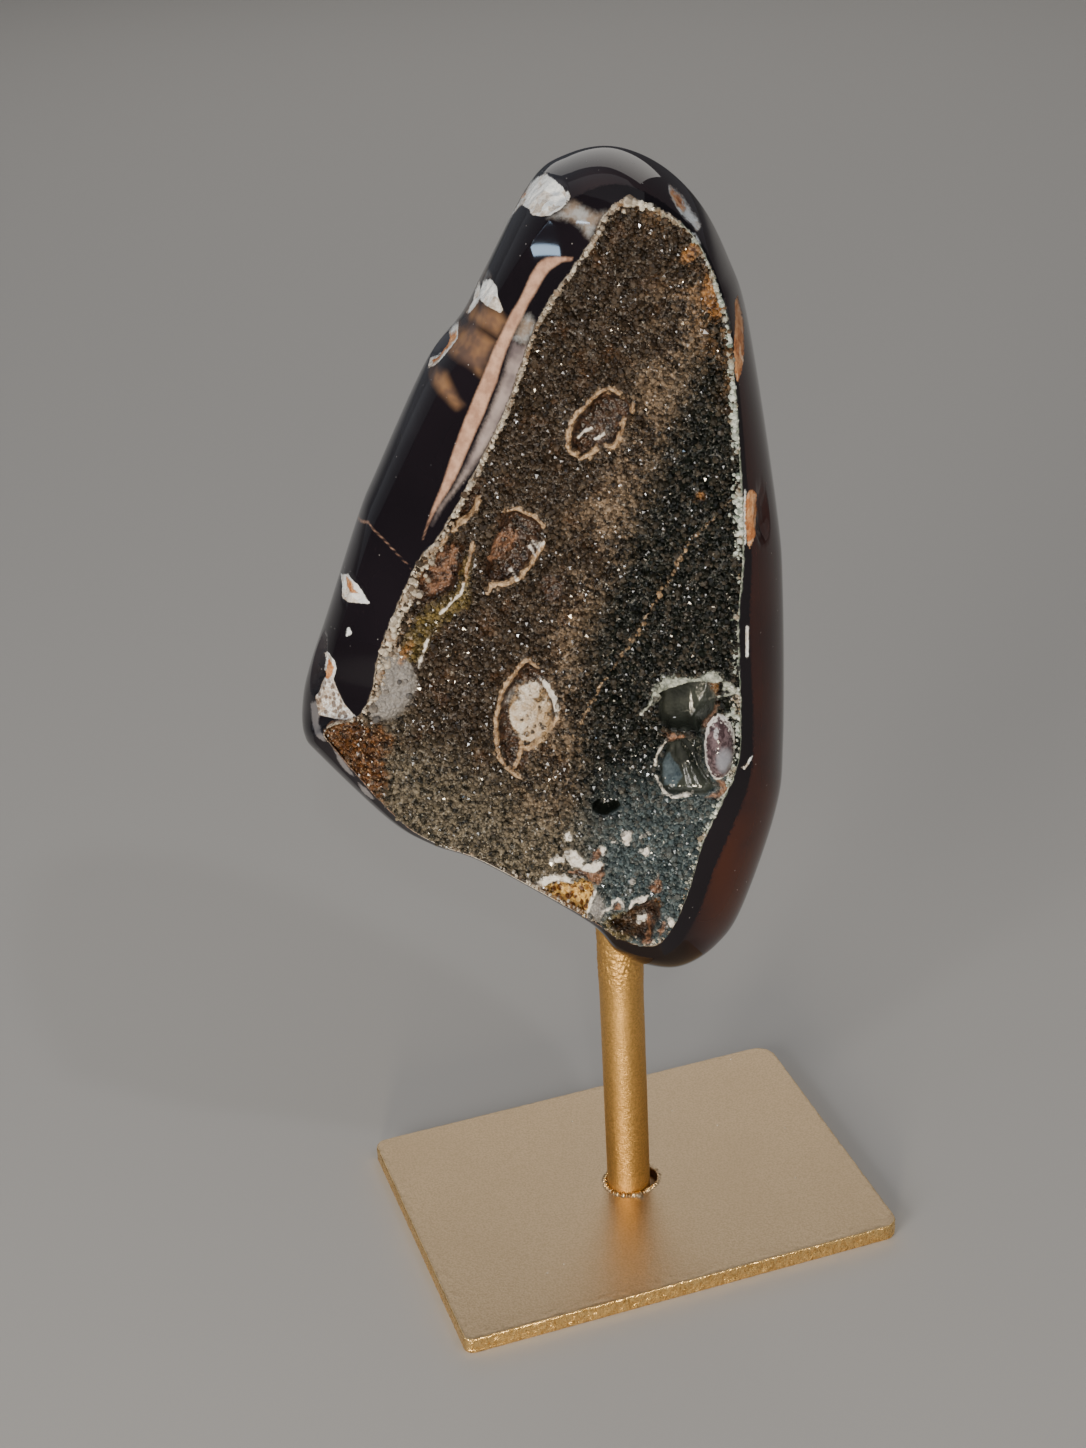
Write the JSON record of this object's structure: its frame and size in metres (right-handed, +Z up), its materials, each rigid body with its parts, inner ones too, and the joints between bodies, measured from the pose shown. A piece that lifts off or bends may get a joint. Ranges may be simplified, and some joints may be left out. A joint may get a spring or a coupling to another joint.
{
  "type": "druzy agate freeform on stand",
  "caption": "Polished freeform of dark agate with a druzy crystal face, held upright on a round metal post over a rectangular plate.",
  "frame": {"origin": "centre of the plate's underside, on the surface that it stands on", "axes": "+Z up, +X along the plate's long side, the crystal face looking towards -Y and a little towards -X"},
  "size_m": [0.109, 0.0803, 0.2351],
  "materials": {
    "gilt_plate": "satin gold paint",
    "gilt_post": "satin gold paint with fine scratches",
    "agate": "high polish, dark banded chalcedony",
    "druse": "bed of small glassy quartz crystals"
  },
  "bodies": {
    "root": {"base_plate": "gilt_plate", "post": "gilt_post", "agate_stone": "agate", "druzy_crust": "druse"}
  },
  "joints": []
}
